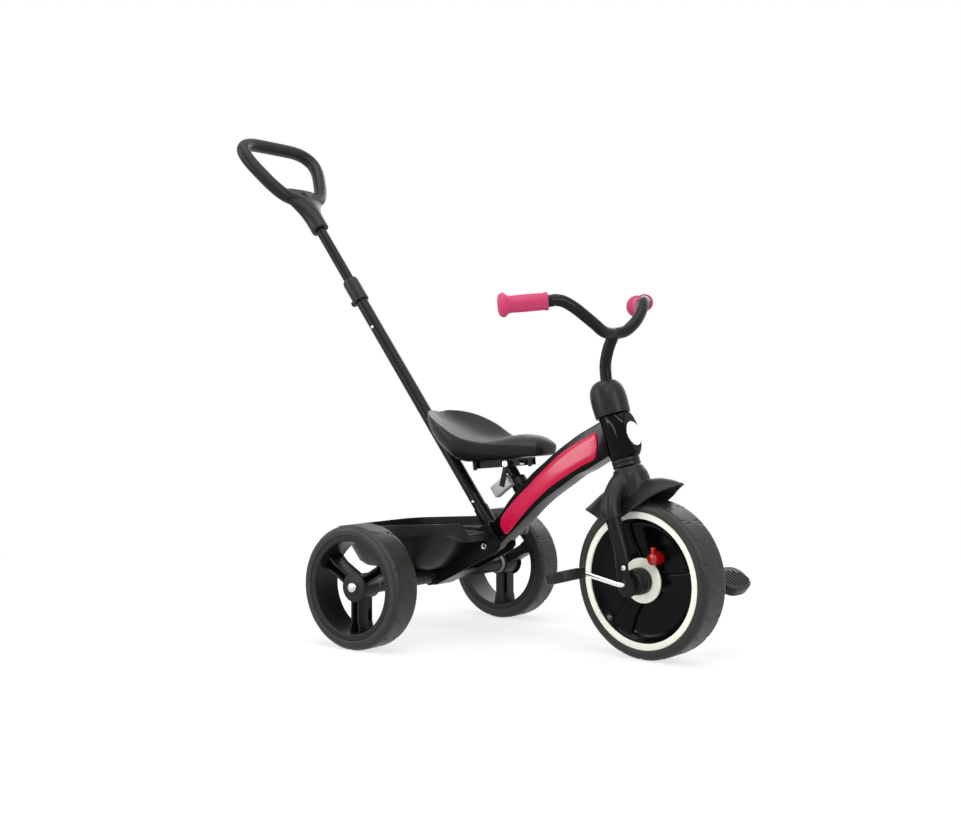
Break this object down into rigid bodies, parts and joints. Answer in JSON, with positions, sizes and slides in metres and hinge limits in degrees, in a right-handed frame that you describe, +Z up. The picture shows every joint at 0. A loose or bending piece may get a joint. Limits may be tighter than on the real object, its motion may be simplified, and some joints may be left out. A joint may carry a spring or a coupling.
{
  "type": "folding tricycle",
  "caption": "Child's tricycle with a folding frame, pedals on the front hub, a scooped saddle, a rear basket and a telescopic push bar with a loop handle.",
  "frame": {"origin": "on the floor, under the middle of the whole tricycle's bounding box", "axes": "+X forward, +Y to the rider's left, +Z up; the fork stands 7.34 degrees to the right"},
  "size_m": [0.9658, 0.4652, 0.8995],
  "materials": {
    "chrome": "bright chrome",
    "cream": "cream white plastic",
    "crimson": "glossy crimson panel",
    "gloss_black": "glossy black plastic",
    "grey_plastic": "light grey bearing plastic",
    "matte_black": "moulded black plastic, satin",
    "painted_steel": "black powder coat, satin",
    "pink": "soft pink grip, matte",
    "red": "glossy dark red knob",
    "silver_plastic": "silver grey lever",
    "steel": "bright plated steel",
    "tyre_black": "dark grey foam tyre, matte",
    "white": "white badge, smooth"
  },
  "bodies": {
    "rear_frame": {"rear_bracket": "painted_steel", "axle_housing": "matte_black", "rear_axle": "steel", "rear_axle_nut_right": "steel", "rear_axle_nut_left": "steel", "fold_pin": "steel", "basket": "matte_black"},
    "rear_wheel_right": {"rear_tyre_right": "tyre_black", "rear_rim_right": "matte_black", "rear_wheel_bush_right": "grey_plastic", "rear_hub_cap_right": "matte_black"},
    "rear_wheel_left": {"rear_tyre_left": "tyre_black", "rear_rim_left": "matte_black", "rear_wheel_bush_left": "grey_plastic", "rear_hub_cap_left": "matte_black"},
    "push_bar": {"push_bar_lower": "painted_steel", "push_bar_collar": "matte_black"},
    "push_bar_top": {"push_bar_upper": "painted_steel", "push_handle": "matte_black"},
    "release_button_body": {"release_button": "steel"},
    "length_pin_body": {"length_pin": "steel"},
    "collar_button_body": {"collar_button": "matte_black"},
    "handle_button_body": {"handle_button": "matte_black"},
    "front_frame": {"main_beam": "gloss_black", "beam_panel_right": "crimson", "beam_panel_left": "crimson", "head_tube": "gloss_black", "badge": "white", "lower_bearing": "matte_black", "seat_clamp_collar": "matte_black"},
    "seat_body": {"seat": "matte_black", "seat_plate": "painted_steel", "seat_post": "painted_steel", "seat_stud_rear": "matte_black", "seat_stud_front": "matte_black", "seat_bolt": "steel"},
    "seat_latch_body": {"seat_latch": "silver_plastic"},
    "fork": {"fork_crown": "matte_black", "fork_leg_right": "painted_steel", "fork_leg_left": "painted_steel", "dropout_screw_right": "steel", "dropout_screw_left": "steel", "steerer": "painted_steel", "handlebar": "painted_steel", "grip_right": "pink", "grip_left": "pink", "head_cap": "matte_black", "crank_bush_right": "matte_black", "crank_bush_left": "matte_black"},
    "front_wheel": {"front_tyre": "tyre_black", "front_disc": "gloss_black", "front_ring_right": "cream", "front_ring_left": "cream", "hub_core": "cream", "hub_drum_right": "matte_black", "hub_drum_left": "matte_black"},
    "clutch": {"clutch_knob": "red"},
    "crank": {"crankshaft": "chrome"},
    "pedal_right_body": {"pedal_right": "matte_black"},
    "pedal_left_body": {"pedal_left": "matte_black"}
  },
  "joints": [
    {"name": "fold", "type": "hinge", "parent": "rear_frame", "child": "front_frame", "pos_m": [0.05079, 0, 0.1591], "axis": [0, 1, 0], "range_deg": [0, 75]},
    {"name": "rear_wheel_right_spin", "type": "hinge", "parent": "rear_frame", "child": "rear_wheel_right", "pos_m": [-0.06681, -0.20425, 0.1017], "axis": [0, 1, 0], "continuous": true},
    {"name": "rear_wheel_left_spin", "type": "hinge", "parent": "rear_frame", "child": "rear_wheel_left", "pos_m": [-0.06681, 0.20425, 0.1017], "axis": [0, 1, 0], "continuous": true},
    {"name": "push_bar_lift", "type": "slide", "parent": "rear_frame", "child": "push_bar", "axis": [-0.5982, 0, 0.8014], "range_m": [0, 0.05]},
    {"name": "push_bar_length", "type": "slide", "parent": "push_bar", "child": "push_bar_top", "axis": [-0.5982, 0, 0.8014], "range_m": [-0.1, 0.06]},
    {"name": "release_press", "type": "slide", "parent": "push_bar", "child": "release_button_body", "axis": [0, 1, 0], "range_m": [0, 0.0018], "stiffness_N_per_m": 300, "springref_m": -0.002},
    {"name": "length_pin_press", "type": "slide", "parent": "push_bar", "child": "length_pin_body", "axis": [0, 1, 0], "range_m": [0, 0.0018], "stiffness_N_per_m": 300, "springref_m": -0.002},
    {"name": "collar_button_press", "type": "slide", "parent": "push_bar", "child": "collar_button_body", "axis": [0.8014, 0, 0.5982], "range_m": [0, 0.0018], "stiffness_N_per_m": 300, "springref_m": -0.002},
    {"name": "handle_button_press", "type": "slide", "parent": "push_bar_top", "child": "handle_button_body", "axis": [-0.8014, 0, -0.5982], "range_m": [0, 0.0018], "stiffness_N_per_m": 300, "springref_m": -0.002},
    {"name": "steer", "type": "hinge", "parent": "front_frame", "child": "fork", "pos_m": [0.31241, 0, 0.31302], "axis": [-0.309, 0, 0.9511], "range_deg": [-32.66, 47.34]},
    {"name": "seat_height", "type": "slide", "parent": "front_frame", "child": "seat_body", "axis": [-0.5982, 0, 0.8014], "range_m": [0, 0.025]},
    {"name": "seat_latch_swing", "type": "hinge", "parent": "seat_body", "child": "seat_latch_body", "pos_m": [0.10198, 0, 0.30041], "axis": [0, 1, 0], "range_deg": [0, 30], "stiffness_Nm_per_rad": 0.3, "springref_deg": -11.46},
    {"name": "front_wheel_spin", "type": "hinge", "parent": "fork", "child": "front_wheel", "pos_m": [0.35641, 0.00207, 0.1257], "axis": [0.1215, 0.9918, 0.0395], "continuous": true},
    {"name": "clutch_turn", "type": "hinge", "parent": "front_wheel", "child": "clutch", "pos_m": [0.38461, -0.00286, 0.1626], "axis": [-0.1215, -0.9918, -0.0395], "range_deg": [0, 90]},
    {"name": "crank_spin", "type": "hinge", "parent": "fork", "child": "crank", "pos_m": [0.35641, 0.00207, 0.1257], "axis": [0.1215, 0.9918, 0.0395], "continuous": true},
    {"name": "pedal_right_spin", "type": "hinge", "parent": "crank", "child": "pedal_right_body", "pos_m": [0.27323, -0.11417, 0.13547], "axis": [0.1215, 0.9918, 0.0395], "continuous": true},
    {"name": "pedal_left_spin", "type": "hinge", "parent": "crank", "child": "pedal_left_body", "pos_m": [0.4396, 0.1183, 0.11593], "axis": [0.1215, 0.9918, 0.0395], "continuous": true}
  ],
  "couplings": [
    {"joint": "crank_spin", "follows": "front_wheel_spin", "ratio": 1}
  ]
}
